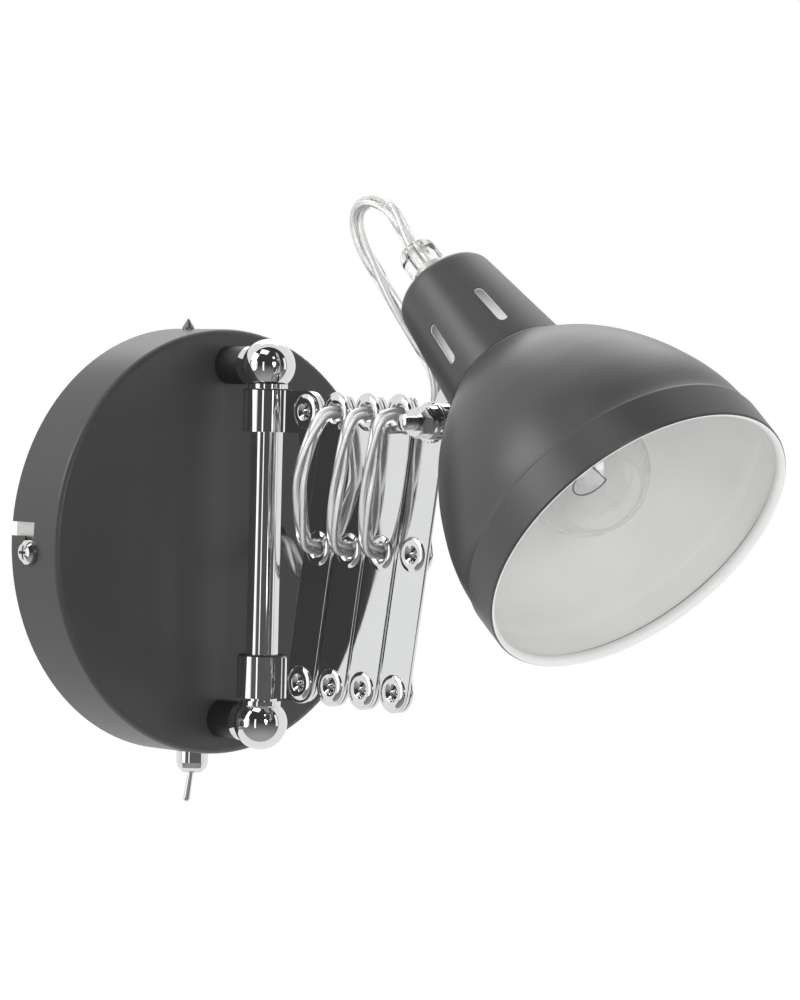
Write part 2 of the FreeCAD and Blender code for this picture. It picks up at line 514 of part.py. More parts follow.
def offset(points, by):
    """The same curve nearer the axis by the sheet's thickness, measured square to it."""
    out = []
    for i, (s, r) in enumerate(points):
        a, b = points[max(i - 1, 0)], points[min(i + 1, len(points) - 1)]
        ds, dr = b[0] - a[0], b[1] - a[1]
        n = math.hypot(ds, dr)
        out.append((s + by * dr / n, r - by * ds / n))
    return out


inner = offset(DOME, SHEET)
line = lambda a, b: Part.LineSegment(V(a[1], 0, a[0]), V(b[1], 0, b[0])).toShape()
hem_in = MOUTH_R - HEM_T
corner = [(HEM_IN_R, hem_in), (0, hem_in + HEM_IN_R), (0, MOUTH_R - HEM_OUT_R), (HEM_OUT_R, MOUTH_R),
          (BEAD_S, MOUTH_R - BAND_DRAFT)]
band_in = MOUTH_R - BAND_DRAFT - SHEET
chain = corner + [DOME[0]]
edges = [line(a, b) for a, b in zip(chain, chain[1:])]
edges.append(spline_edge(DOME))
crown_r = NECK_FOOT_R - CROWN_IN
crown = [DOME[-1], (CROWN_S, crown_r), (CROWN_S, CROWN_HOLE_R), (CROWN_S - SHEET, CROWN_HOLE_R),
         (CROWN_S - SHEET, crown_r - CROWN_CORNER), inner[-1]]
edges += [line(a, b) for a, b in zip(crown, crown[1:])]
edges.append(spline_edge(inner))
tail = [inner[0], (BEAD_S, band_in), (HEM, band_in), (HEM, hem_in), corner[0]]
edges += [line(a, b) for a, b in zip(tail, tail[1:])]
wire = Part.Wire(Part.__sortEdges__(edges))
shade = Part.Face(wire).revolve(V(0, 0, 0), Z, 360)
shade = shade if shade.Volume > 0 else shade.reversed()
save("shade", head_place(solid(shade)))

e = NECK_EDGE_R
cup_out = [(CROWN_S, NECK_FOOT_R), (NECK_TOP_S - e, NECK_TOP_R)]
for a in (22.5, 45, 67.5, 90):
    q = math.radians(a)
    cup_out.append((NECK_TOP_S - e + e * math.sin(q), NECK_TOP_R - e + e * math.cos(q)))
cup_in = [(NECK_TOP_S - SHEET, NECK_TOP_R - e)]
for a in (45, 0):
    q, i = math.radians(a), e - SHEET
    cup_in.append((NECK_TOP_S - e + i * math.sin(q), NECK_TOP_R - e + i * math.cos(q)))
cup_in.append((CROWN_S, NECK_FOOT_R - SHEET))
neck = turned(cup_out + [(NECK_TOP_S, NIPPLE_R + SEAT), (NECK_TOP_S - SHEET, NIPPLE_R + SEAT)] + cup_in)
for i in range(VENTS):
    half = VENT_L / 2 - VENT_W / 2
    cut = block(0, VENT_TOOL, -VENT_W / 2, VENT_W / 2, VENT_S - half, VENT_S + half)
    for s in (-half, half):
        cut = cut.fuse(rod(VENT_W / 2, VENT_TOOL, V(0, 0, VENT_S + s), X))
    cut.rotate(V(0, 0, 0), Z, i * 360 / VENTS)
    neck = neck.cut(cut)
save("neck_cup", head_place(solid(neck)))

# ear between the lamp bolt and the neck
bolt = to_head(bolt_at)
print("bolt in head coordinates", bolt)
outline = [V(EAR_IN, bolt.y, bolt.z - EAR_END_R), V(EAR_IN, EAR_FOOT, bolt.z - EAR_HALF),
           V(EAR_IN, EAR_FOOT, bolt.z + EAR_HALF), V(EAR_IN, bolt.y, bolt.z + EAR_END_R)]
ear = Part.Face(Part.makePolygon(outline + outline[:1])).extrude(X * EAR_T)
ear = ear.fuse(rod(EAR_END_R, EAR_T, V(EAR_IN, bolt.y, bolt.z), X))
cone = Part.makeCone(NECK_FOOT_R, NECK_TOP_R, NECK_TOP_S - e - CROWN_S, V(0, 0, CROWN_S), Z)
ear = ear.cut(cone).cut(rod(BOLT_R + SEAT, THROUGH, V(0, bolt.y, bolt.z), X))
ear = max(ear.Solids, key=lambda s: s.Volume)
save("head_ear", head_place(ear))

gland = rod(GLAND_R, GLAND_L, V(0, 0, NECK_TOP_S), Z)
gland = gland.makeFillet(GLAND_EDGE_R, [g for g in gland.Edges if len(g.Vertexes) == 1 and g.BoundBox.ZMin > NECK_TOP_S + 5])
gland = gland.cut(rod(CABLE_R + SEAT, GLAND_L, V(0, 0, NECK_TOP_S), Z))
gland = gland.cut(rod(NIPPLE_R + SEAT, NIPPLE_S + NIPPLE_L - NECK_TOP_S, V(0, 0, NECK_TOP_S), Z))
save("cable_gland", head_place(solid(gland)))
save("gland_nipple", head_place(pipe(NIPPLE_R, NIPPLE_R - NIPPLE_WALL, NIPPLE_L, V(0, 0, NIPPLE_S), Z)))
lock = hexagon(GLAND_NUT_AF, NUT_T, V(0, 0, NECK_TOP_S - SHEET - NUT_T), Z).cut(
    rod(NIPPLE_R + SEAT, NIPPLE_L, V(0, 0, NIPPLE_S), Z))
save("gland_nut", head_place(solid(lock)))

holder_top = NECK_TOP_S - SHEET - NUT_T
holder = turned([(holder_top, NIPPLE_R + SEAT), (holder_top, HOLDER_NECK_R),
                 (holder_top - HOLDER_SLOPE, HOLDER_R - HOLDER_DRAFT),
                 (CROWN_S + SHOULDER_T, HOLDER_R), (CROWN_S + SHOULDER_T, SHOULDER_R), (CROWN_S, SHOULDER_R),
                 (CROWN_S, HOLDER_R), (HOLDER_END, HOLDER_R), (HOLDER_END, SOCKET_R),
                 (SOCKET_FLOOR, SOCKET_R), (SOCKET_FLOOR, 0), (NIPPLE_S, 0), (NIPPLE_S, NIPPLE_R + SEAT)])
save("lamp_holder", head_place(solid(holder)))
ring = pipe(RING_R, HOLDER_R + SEAT, RING_H, V(0, 0, CROWN_S - SHEET - RING_H), Z)
for i in range(RING_NOTCHES):
    notch = rod(RING_NOTCH_R, RING_H, V(RING_R + RING_NOTCH_OUT, 0, CROWN_S - SHEET - RING_H), Z)
    notch.rotate(V(0, 0, 0), Z, i * 360 / RING_NOTCHES)
    ring = ring.cut(notch)
save("shade_ring", head_place(solid(ring)))

# bulb: golf-ball glass, screw cap, stem with its wires
glass_out = [(BULB_S - BULB_R, 0.0)]
for a in range(15, 121, 15):
    q = math.radians(a)
    glass_out.append((BULB_S - BULB_R * math.cos(q), BULB_R * math.sin(q)))
glass_r = CAP_R - GLASS_IN_CAP
glass_out += BULB_NECK + [(CAP_S - GLASS_END, glass_r)]
shell = offset(glass_out, GLASS)
shell[0] = (BULB_S - BULB_R + GLASS, 0.0)
end_out, end_in = glass_out[-1], shell[-1]
cap_floor = CAP_S + GLASS_END
foot = [end_out, (cap_floor, glass_r), (cap_floor, glass_r - GLASS), end_in]
edges = [spline_edge(glass_out), spline_edge(shell), line(shell[0], glass_out[0])]
edges += [line(a, b) for a, b in zip(foot, foot[1:])]
glass = Part.Face(Part.Wire(Part.__sortEdges__(edges))).revolve(V(0, 0, 0), Z, 360)
save("bulb_glass", head_place(solid(glass)))

threads = [(CAP_S, CAP_R - CAP_IN), (CAP_S, CAP_R + THREAD_RISE)]
for i in range(THREADS):
    s = CAP_S + THREAD_PITCH * (i + 0.85)
    threads += [(s, CAP_R - THREAD_DEEP), (s + THREAD_PITCH / 2, CAP_R + THREAD_RISE)]
contact = [(CAP_END - 1.7 * THREAD_PITCH, CAP_R - THREAD_DEEP), (CAP_END, CAP_R * 0.58),
           (CAP_END + THREAD_PITCH / 2, CAP_R * 0.35), (SOCKET_FLOOR, CAP_R * 0.23), (SOCKET_FLOOR, 0)]
cap = turned(threads + contact + [(cap_floor, 0), (cap_floor, CAP_R - CAP_IN)])
save("bulb_cap", head_place(solid(cap)))

stem = turned([(cap_floor, 0)] + [(cap_floor - down, r) for r, down in STEM] + [(cap_floor - STEM[-1][1], 0)])
wires = [head_place(solid(stem))]
for side in (-1, 1):
    wires.append(head_place(rod(LEAD_R, LEAD_L, V(side * LEAD_X, 0, LEAD_S), V(side * LEAD_SPREAD, 0, -1))))
reach = LEAD_L / math.hypot(LEAD_SPREAD, 1)
wires.append(head_place(Part.makeTorus(LEAD_X + reach * LEAD_SPREAD, COIL_R, V(0, 0, LEAD_S - reach), Z, 0, 360, 180)))
save("bulb_stem", *wires)

# ---- lamp bolt, nut with its handle, washers ----
save("lamp_bolt", solid(rod(BOLT_R, EAR_IN + EAR_T - BOLT_END, V(BOLT_END, bolt_at.y, bolt_at.z), X).fuse(
    hexagon(BOLT_HEAD_AF, BOLT_HEAD_T, V(EAR_IN + EAR_T, bolt_at.y, bolt_at.z), X))))
nut = hexagon(NUT_AF, NUT_IN - NUT_OUT, V(NUT_OUT, bolt_at.y, bolt_at.z), X, NUT_TURN)
cr, c = NUT_CHAMFER_R, NUT_CHAMFER
chamfer = turned([(NUT_OUT, 0), (NUT_OUT, cr), (NUT_OUT + c, cr + c), (NUT_IN - c, cr + c), (NUT_IN, cr), (NUT_IN, 0)],
                 axis=X, centre=V(0, bolt_at.y, bolt_at.z))
handle_at = V(HANDLE_X, bolt_at.y + HANDLE_IN, bolt_at.z - HANDLE_DROP)
handle_way = V(0, 1, -HANDLE_FALL).normalize()
nut = nut.common(chamfer).cut(rod(BOLT_R + RUN, THROUGH, V(-THROUGH, bolt_at.y, bolt_at.z), X))
nut = nut.cut(rod(HANDLE_R + SEAT, HANDLE_SEAT, handle_at, handle_way))
save("lamp_nut", solid(nut))
handle = rod(HANDLE_R, HANDLE_L - HANDLE_IN, handle_at, handle_way)
save("nut_handle", solid(handle.makeFillet(HANDLE_EDGE_R, [h for h in handle.Edges if len(h.Vertexes) == 1
                                                 and h.BoundBox.YMin > bolt_at.y + HANDLE_L / 2])))
serrated = pipe(DISC_R, BOLT_R + RUN, DISC_T, V(FRONT - DISC_T, bolt_at.y, bolt_at.z), X)
for i in range(DISC_TEETH):
    a = math.radians(i * 360 / DISC_TEETH)
    at = bolt_at + Y * (math.cos(a) * DISC_R) + Z * (math.sin(a) * DISC_R)
    serrated = serrated.cut(rod(TOOTH_R, DISC_T, V(FRONT - DISC_T, at.y, at.z), X))
save("lock_disc", solid(serrated))
save("washer", pipe(WASHER_R, BOLT_R + RUN, FRONT - DISC_T - NUT_IN, V(NUT_IN, bolt_at.y, bolt_at.z), X))
save("spacer", pipe(DISC_R, BOLT_R + SEAT, EAR_IN - (-LAYER + AXIAL), V(-LAYER + AXIAL, bolt_at.y, bolt_at.z), X))

# ---- cable: through the grommet, behind the arm, in and out of the eyelets, into the gland ----
def at(p, x, dy=0.0, dz=0.0):
    return (x, p.y + dy, p.z + dz)


def leave(p, way, side, straight=EXIT):
    """Out of an eyelet at p on one side of the arm, then turning towards the unit vector way."""
    q = p + way * TURN
    return [at(p, 0), at(p, side * straight), at(q, side * (straight + TURN))]


def front_loop(k, bulge, sag, straight):
    """From the upper eyelet down to the middle one, on the near side of the arm."""
    a, b = top(k + 1), middle(k)
    down = (b - a).normalize()

    def on(share, x):
        return at(a + (b - a) * share, -x)
    return leave(a, down, -1, straight) + [
        on(0.2, straight + TURN + 0.55 * (bulge - straight - TURN)), on(0.14 + 0.5 * sag, bulge),
        on(0.2 + 0.68 * sag, bulge * 0.99)] + leave(b, -down, -1)[::-1]


def back_run(k):
    """From the middle eyelet up to the upper eyelet of the next cell, behind the arm."""
    a, b = middle(k), top(k + 2)
    up = (b - a).normalize()
    return leave(a, up, 1) + [at(a, BACK_X, *BACK_LOW), at(b, BACK_X, *BACK_HIGH)] + leave(b, -up, 1)[::-1]


def from_bolt(x, y, z):
    return (x, bolt_at.y + y, bolt_at.z + z)


first, last_mid = top(1), middle(CELLS - 1)
cable("cable_wall_run", [(GROMMET_X, -PLATE_T - BLOCK[1], GROMMET_Z)] + WALL_RUN + [at(first, *WALL_RUN_LAST)]
      + leave(first, FIRST_WAY.normalize(), 1)[::-1])
for k, shape in enumerate(LOOPS):
    cable("cable_front_%d" % k, front_loop(k, *shape))
for k in range(CELLS - 1):
    cable("cable_back_%d" % k, back_run(k))
joint = V(*from_bolt(*JOINT_OFF))
cable("cable_back_2", leave(last_mid, RISE_WAY.normalize(), 1) + [at(last_mid, *RISE), tuple(joint - JOINT_WAY), tuple(joint)])
gland_end = NIPPLE_S + NIPPLE_L
cable("cable_head_loop", [tuple(joint), tuple(joint + JOINT_WAY)] + [from_bolt(*p) for p in HEAD_LOOP]
      + [tuple(MOUTH + HEAD_AXIS * (gland_end + GLAND_STRAIGHT)), tuple(MOUTH + HEAD_AXIS * gland_end)])
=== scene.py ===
# %% [markdown]
# # An accordion wall lamp, dressed in Blender
# The CAD model is loaded as a fixed frame in metres. Every piece made here goes where the
# frame says, and either stands for a CAD piece or gives it a better finish.

# %% Load the frame
import math

import bmesh
import bpy
from mathutils import Matrix, Vector


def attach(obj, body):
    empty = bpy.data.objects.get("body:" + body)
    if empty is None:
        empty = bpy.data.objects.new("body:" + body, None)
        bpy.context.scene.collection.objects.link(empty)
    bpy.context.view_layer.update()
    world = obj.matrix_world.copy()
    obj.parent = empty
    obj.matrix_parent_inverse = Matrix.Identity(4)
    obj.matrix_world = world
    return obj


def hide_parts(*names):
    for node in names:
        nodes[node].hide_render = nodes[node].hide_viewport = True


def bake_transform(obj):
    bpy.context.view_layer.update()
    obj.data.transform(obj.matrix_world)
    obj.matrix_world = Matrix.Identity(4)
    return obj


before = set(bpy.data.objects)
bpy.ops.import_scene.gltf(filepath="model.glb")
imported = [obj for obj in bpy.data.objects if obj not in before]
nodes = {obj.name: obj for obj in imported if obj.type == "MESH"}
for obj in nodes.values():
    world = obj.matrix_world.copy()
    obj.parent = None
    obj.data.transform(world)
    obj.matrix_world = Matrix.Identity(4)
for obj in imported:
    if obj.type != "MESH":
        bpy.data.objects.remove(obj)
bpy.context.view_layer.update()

MM = 0.001
scene = bpy.context.scene

# %% [markdown]
# ## Small helpers
# Objects are linked to the scene as they are made, meshes come out of bmeshes, and a turn is
# written as its three axes.

# %% Small helpers
def axes(x, y, z):
    """A turn whose local axes are these three."""
    return Matrix((x, y, z)).transposed().to_4x4()


def add_object(name, data):
    made = bpy.data.objects.new(name, data)
    scene.collection.objects.link(made)
    return made


def to_mesh(name, *parts):
    """One mesh of one or more bmeshes."""
    whole = bmesh.new()
    for bm in parts:
        piece = bpy.data.meshes.new(name)
        bm.to_mesh(piece)
        bm.free()
        whole.from_mesh(piece)
        bpy.data.meshes.remove(piece)
    mesh = bpy.data.meshes.new(name)
    whole.to_mesh(mesh)
    whole.free()
    return mesh

# %% [markdown]
# ## Camera
# The photograph was taken with a long lens from the lamp's front left, a little above it and
# with a slight roll. The focal length is written in pixels of an 800 pixel wide picture and
# turned into a lens on a 36 mm sensor, which is held to the picture's width.

# %% Camera
AZIMUTH, ELEVATION, ROLL = -0.743, 0.027, 0.024
DISTANCE, FOCAL_PX, PICTURE_PX = 1591.75 * MM, 4191.6, 800
TARGET = Vector((58.436, -60.0, 16.924)) * MM

back = Vector((math.sin(AZIMUTH) * math.cos(ELEVATION), -math.cos(AZIMUTH) * math.cos(ELEVATION),
               math.sin(ELEVATION)))
level = Vector((math.cos(AZIMUTH), math.sin(AZIMUTH), 0))
upright = back.cross(level)
right = level * math.cos(ROLL) + upright * math.sin(ROLL)
up = upright * math.cos(ROLL) - level * math.sin(ROLL)

camera = add_object("camera", bpy.data.cameras.new("camera"))
camera.data.sensor_fit, camera.data.sensor_width = "HORIZONTAL", 36.0
camera.data.lens = FOCAL_PX / PICTURE_PX * 36.0
camera.data.clip_end = 50.0
camera.matrix_world = Matrix.Translation(TARGET + back * DISTANCE) @ axes(right, up, back)
scene.camera = camera
scene.view_settings.view_transform = "Standard"
print("lens", round(camera.data.lens, 1), "mm")

# %% [markdown]
# ## Shader maths as Python
# A finish is easier to read as a sum than as a tangle of node calls. `Value` wraps a socket, and
# every operator on it adds one Math node. `Finish` is a material with one Principled shader, and
# its `node` method makes any other node: its settings first, then its sockets.

# %% Shader helpers
class Value:
    """One output socket, with Python's operators."""

    def __init__(self, finish, socket):
        self.finish, self.socket = finish, socket

    def _math(self, operation, a, b=0.0):
        return self.finish.node("ShaderNodeMath", {"operation": operation}, {0: a, 1: b})

    def __add__(self, other):
        return self._math("ADD", self, other)

    def __radd__(self, other):
        return self._math("ADD", other, self)

    def __sub__(self, other):
        return self._math("SUBTRACT", self, other)

    def __mul__(self, other):
        return self._math("MULTIPLY", self, other)

    def __pow__(self, other):
        return self._math("POWER", self, other)

    def __gt__(self, other):
        return self._math("GREATER_THAN", self, other)

    def __lt__(self, other):
        return self._math("LESS_THAN", self, other)


class Finish:
    """A node tree under construction: a material, or the world when one is given."""

    def __init__(self, name, world=None):
        self.owner = world or bpy.data.materials.new(name)
        self.owner.use_nodes = True
        self.tree = self.owner.node_tree
        self.tree.nodes.clear()

    def node(self, kind, settings=None, sockets=None, out=0):
        made = self.tree.nodes.new(kind)
        for key, value in (settings or {}).items():
            setattr(made, key, value)
        for key, value in (sockets or {}).items():
            if isinstance(value, Value):
                self.tree.links.new(value.socket, made.inputs[key])
            else:
                made.inputs[key].default_value = value
        return Value(self, made.outputs[out]) if made.outputs else None

    def place(self):
        return self.node("ShaderNodeTexCoord", out="Object")

    def along(self, origin, way):
        """How far the surface lies from a point, measured along a unit vector."""
        kind = "ShaderNodeVectorMath"
        shift = self.node(kind, {"operation": "SUBTRACT"}, {0: self.place(), 1: origin})
        return self.node(kind, {"operation": "DOT_PRODUCT"}, {0: shift, 1: way}, out="Value")

    def falling(self, value, low, high):
        """1 up to low, 0 from high on, and a straight line between."""
        return self.node("ShaderNodeMapRange", {"clamp": True}, {
            "Value": value, "From Min": low, "From Max": high, "To Min": 1.0, "To Max": 0.0})

    def noise(self, scale, detail):
        return self.node("ShaderNodeTexNoise", {}, {
            "Vector": self.place(), "Scale": scale, "Detail": detail, "Roughness": 0.55}, out="Fac")

    def blend(self, factor, a, b):
        """A colour between a and b."""
        colour = lambda c: c if isinstance(c, Value) else (*c, 1)
        sockets = {0: factor, 6: colour(a), 7: colour(b)}
        return self.node("ShaderNodeMix", {"data_type": "RGBA"}, sockets, out=2)

    def bump(self, height, distance):
        return self.node("ShaderNodeBump", {}, {"Height": height, "Distance": distance, "Strength": 1.0})

    def emission(self, colour, strength):
        return self.surface(self.node("ShaderNodeEmission", {}, {"Color": colour, "Strength": strength}))

    def surface(self, shader):
        self.node("ShaderNodeOutputMaterial", {}, {"Surface": shader})
        return self.owner

    def principled(self, colour, roughness, **sockets):
        names = {key.replace("_", " ").title().replace("Ior", "IOR"): value
                 for key, value in sockets.items()}
        names["Base Color"] = colour if isinstance(colour, Value) else (*colour, 1)
        names["Roughness"] = roughness
        return self.surface(self.node("ShaderNodeBsdfPrincipled", {}, names))


def tint(colour, share):
    return tuple(c * share for c in colour)

# %% [markdown]
# ## Studio
# A plain pale floor lies well below the lamp, out of the photograph's view, and keeps the lamp's
# shadow. The world is white for the camera, for reflections and through glass, and a soft grey
# light for everything else. Chrome needs something dark to mirror, so the studio's unlit half
# stands behind the camera as a large dome that only reflections see.

# %% World, floor, lamps
world = bpy.data.worlds.new("studio")
scene.world = world
sky = Finish("studio", world)
path = lambda ray: sky.node("ShaderNodeLightPath", out=ray)
either = lambda a, b: sky.node("ShaderNodeMath", {"operation": "MAXIMUM"}, {0: a, 1: b})
is_seen = either(either(path("Is Camera Ray"), path("Is Glossy Ray")), path("Is Transmission Ray"))
LIGHT_LEVEL = 0.66
strength = LIGHT_LEVEL + is_seen * (1.0 - LIGHT_LEVEL)
sky.node("ShaderNodeOutputWorld", {}, {
    "Surface": sky.node("ShaderNodeBackground", {}, {"Color": (1, 1, 1, 1), "Strength": strength})})

LAMP_CENTRE = Vector((0.0, -0.11, 0.0))


def add_softbox(name, from_lamp, size, watts):
    """A square soft light that looks at the lamp's centre."""
    light = bpy.data.lights.new(name, "AREA")
    light.shape, light.size, light.size_y, light.energy = "RECTANGLE", size, size, watts
    box = add_object(name, light)
    turn = (-from_lamp).to_track_quat("-Z", "Y").to_matrix().to_4x4()
    box.matrix_world = Matrix.Translation(LAMP_CENTRE + from_lamp) @ turn
    return box


add_softbox("softbox_left", back * 0.55 - right * 1.6 + up * 1.1, 0.9, 14)
add_softbox("softbox_right", back * 1.6 + right * 0.75 + up * 0.3, 0.4, 3)
add_softbox("softbox_front", back * 1.7 + right * 0.5 - up * 0.35, 1.0, 7).visible_glossy = False
add_softbox("softbox_top", up * 1.25 - back * 1.1, 1.2, 7)

FLOOR_R, FLOOR_Y, FLOOR_Z = 1.2, -0.1, -0.38
floor_bm = bmesh.new()
bmesh.ops.create_circle(floor_bm, cap_ends=True, segments=64, radius=FLOOR_R)
bmesh.ops.translate(floor_bm, verts=floor_bm.verts, vec=(0, FLOOR_Y, FLOOR_Z))
floor = add_object("floor", to_mesh("floor", floor_bm))
floor.visible_glossy = False
floor.data.materials.append(Finish("pale_floor").principled((0.86, 0.86, 0.86), 0.9))


def only_reflected(name, bm, finish):
    """A backdrop that only reflections see."""
    backdrop = add_object(name, to_mesh(name, bm))
    backdrop.data.materials.append(finish)
    for ray in ("camera", "diffuse", "transmission", "volume_scatter", "shadow"):
        setattr(backdrop, "visible_" + ray, False)


DOME_R, DOME_EDGE = 3.2, 0.15
DOME_LOW, DOME_HIGH = -2.6, 0.3
dome_bm = bmesh.new()
bmesh.ops.create_uvsphere(dome_bm, u_segments=48, v_segments=24, radius=DOME_R)
bmesh.ops.translate(dome_bm, verts=dome_bm.verts, vec=LAMP_CENTRE)
bmesh.ops.bisect_plane(dome_bm, geom=dome_bm.verts[:] + dome_bm.edges[:] + dome_bm.faces[:],
                       plane_co=LAMP_CENTRE + back * DOME_EDGE, plane_no=-back, clear_outer=True)
dark = Finish("unlit_studio")
low_light = dark.falling(dark.along((0, 0, 0), (0, 0, 1)), DOME_LOW, DOME_HIGH)
only_reflected("unlit_studio", dome_bm,
               dark.emission(dark.blend(low_light, (0.05, 0.05, 0.052), (0.42, 0.42, 0.42)), 1.0))

# %% [markdown]
# Chrome takes its stripes from lit panels. Each is placed by its angles as the lamp sees it, and
# some lose light towards their edges, so that a stripe ends softly.

# %% Reflector panels
PANEL_AWAY = 3.0


def add_panel(name, azimuth, elevation, width, height, level, fade=0.0):
    """A lit panel at angles in degrees from the camera, to its right and upwards."""
    a, e = math.radians(azimuth), math.radians(elevation)
    way = back * (math.cos(e) * math.cos(a)) + right * (math.cos(e) * math.sin(a)) + up * math.sin(e)
    turn = way.to_track_quat("Z", "Y").to_matrix()
    place = LAMP_CENTRE + way * PANEL_AWAY
    bm = bmesh.new()
    bmesh.ops.create_grid(bm, x_segments=1, y_segments=1, size=0.5)
    bmesh.ops.scale(bm, verts=bm.verts, vec=(width, height, 1))
    bmesh.ops.transform(bm, verts=bm.verts, matrix=Matrix.Translation(place) @ turn.to_4x4())
    glow = Finish(name)
    lost = (glow.along(place, turn.col[0]) * (2.0 / width)) ** 2.0 * fade
    only_reflected(name, bm, glow.emission(glow.blend(lost, (1, 1, 1), (0, 0, 0)), level))


add_panel("panel_left", -66, 4, 1.9, 2.3, 1.8, 0.65)
add_panel("panel_middle", -22, -2, 0.34, 2.0, 1.6)
add_panel("panel_upper_left", -30, 60, 1.6, 1.0, 2.0)
add_panel("panel_right_high", 26, 34, 0.42, 0.42, 3.0)
add_panel("panel_right_low", 26, 3, 0.42, 0.9, 2.6)
add_panel("panel_edge", 78, 8, 0.7, 2.6, 1.3, 0.5)

# %% [markdown]
# ## Places
# The arm is a lazy tongs: every pivot follows from half a strut's length and its lean, and the
# head's place follows from the lamp bolt. The same few numbers set out the solid model.

# %% Where the arm's pivots are
HALF, TILT = 50.7, math.radians(9.65)
MID_Z, FIRST_OUT, TUBE_Y, HEAD_HALF = 0.017, 23.4, -49.7, 48.0
PITCH = 2 * HALF * math.sin(TILT)


def pivot_at(k, level):
    """Pivot of cell k: level 0 is the upper row, 1 the middle one, 2 the lower one."""
    along = k + (0.5 if level == 1 else 0)
    return Vector((0, TUBE_Y - FIRST_OUT - PITCH * along, MID_Z + (1 - level) * HALF * math.cos(TILT)))


top = lambda k: pivot_at(k, 0)
middle = lambda k: pivot_at(k, 1)
low = lambda k: pivot_at(k, 2)
lamp_bolt_at = middle(3) + (top(4) - middle(3)).normalized() * HEAD_HALF
print("pitch", round(PITCH, 2), "lamp bolt", [round(v, 2) for v in lamp_bolt_at])

# %% Where the head is
AXIS_DOWN, BOLT_S, BOLT_OFF = math.radians(40.61), 103.65, 38.37
head_axis = Vector((0, math.cos(AXIS_DOWN), math.sin(AXIS_DOWN)))
head_side = Vector((0, math.sin(AXIS_DOWN), -math.cos(AXIS_DOWN)))
MOUTH = lamp_bolt_at - head_axis * BOLT_S - head_side * BOLT_OFF
on_axis = lambda s: MOUTH + head_axis * s
HEAD = Matrix.Translation(MOUTH * MM) @ axes(Vector((1, 0, 0)), head_side, head_axis)
print("mouth", [round(v, 2) for v in MOUTH])

# %% [markdown]
# ## Two ways to make a piece
# A turned piece is half its section, spun round an axis: the section's corners are rounded with a
# vertex bevel first, so that every edge catches the light. A flat bar is its outline with its
# holes, filled and given its thickness, and then a fine bevel along all its edges. Weighted
# normals keep the flat faces flat to the eye.

# %% Helpers
def link(name, mesh, finishes, body=None, stands_for=(), sharp=38):
    """An object for a finished mesh, smooth but for its sharp edges."""
    piece = add_object(name, mesh)
    for finish in finishes if isinstance(finishes, (list, tuple)) else [finishes]:
        mesh.materials.append(finish)
    mesh.shade_smooth()
    mesh.set_sharp_from_angle(angle=math.radians(sharp))
    if body:
        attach(piece, body)
    if stands_for:
        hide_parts(*stands_for)
    return piece


def weigh(piece):
    """Flat faces look flat, and only the rounded edges shade smoothly."""
    weighted = piece.modifiers.new("weighted", "WEIGHTED_NORMAL")
    weighted.keep_sharp, weighted.weight = True, 80


def turned(section, place, rounded=0.0, steps=64, closed=True):
    """A bmesh spun from (radius, height) points in millimetres round the local Z, then placed."""
    bm = bmesh.new()
    corners = [bm.verts.new((r * MM, 0, h * MM)) for r, h in section]
    for a, b in zip(corners, corners[1:] + corners[:1] if closed else corners[1:]):
        bm.edges.new((a, b))
    if rounded:
        inner = [v for v in corners if len(v.link_edges) == 2 and v.co.x > 1e-6]
        bmesh.ops.bevel(bm, geom=inner, offset=rounded * MM, segments=3, profile=0.5,
                        affect="VERTICES", material=-1, clamp_overlap=True)
    bmesh.ops.spin(bm, geom=bm.verts[:] + bm.edges[:], angle=math.tau, steps=steps,
                   axis=(0, 0, 1), cent=(0, 0, 0), use_merge=True)
    bmesh.ops.remove_doubles(bm, verts=bm.verts, dist=1e-6)
    bmesh.ops.recalc_face_normals(bm, faces=bm.faces)
    bmesh.ops.transform(bm, matrix=place, verts=bm.verts)
    return bm

# %% [markdown]
# ## Finishes
# Each finish is a real one: stoved satin enamel with a very fine orange peel, polished chrome
# plate with faint wiping marks, zinc-plated steel, moulded plastic, soft clear PVC, tinned wire,
# glass, glazed ceramic and brass. Only colour, roughness, bump and one faint painted glow vary
# over a surface: the lampholder's glow is no finish but an emission that stands in for light.

# %% Enamel
PEEL_SCALE, PEEL_DEPTH = 2600.0, 0.00003
CLOUD_SCALE = 22.0


def enamel(name, colour, roughness):
    f = Finish(name)
    cloud = f.noise(CLOUD_SCALE, 4.0)
    peel = f.noise(PEEL_SCALE, 2.0)
    tone = f.blend(cloud, tint(colour, 0.9), tint(colour, 1.1))
    return f.principled(tone, cloud * 0.08 + (roughness - 0.04), normal=f.bump(peel, PEEL_DEPTH))


black_enamel = enamel("black_enamel", (0.05, 0.05, 0.051), 0.36)
white_enamel = enamel("white_enamel", (0.87, 0.87, 0.86), 0.45)

# %% Metals
GRAIN_SCALE, GRAIN_DEPTH = 3500.0, 0.00002   # the fine grain of a plated casting
WAVE_SCALE, WAVE_DEPTH = 26.0, 0.0008        # a strip's flat faces are never quite flat


def metal(name, colour, roughness, wear, grain=False, wave=False):
    f = Finish(name)
    wipe = f.noise(90.0, 4.0)
    tone = f.blend(wipe, tint(colour, 0.96), colour)
    sockets = {"metallic": 1.0}
    if grain:
        sockets["normal"] = f.bump(f.noise(GRAIN_SCALE, 2.0), GRAIN_DEPTH)
    if wave:
        sockets["normal"] = f.bump(f.noise(WAVE_SCALE, 0.0), WAVE_DEPTH)
    return f.principled(tone, wipe * wear + roughness, **sockets)


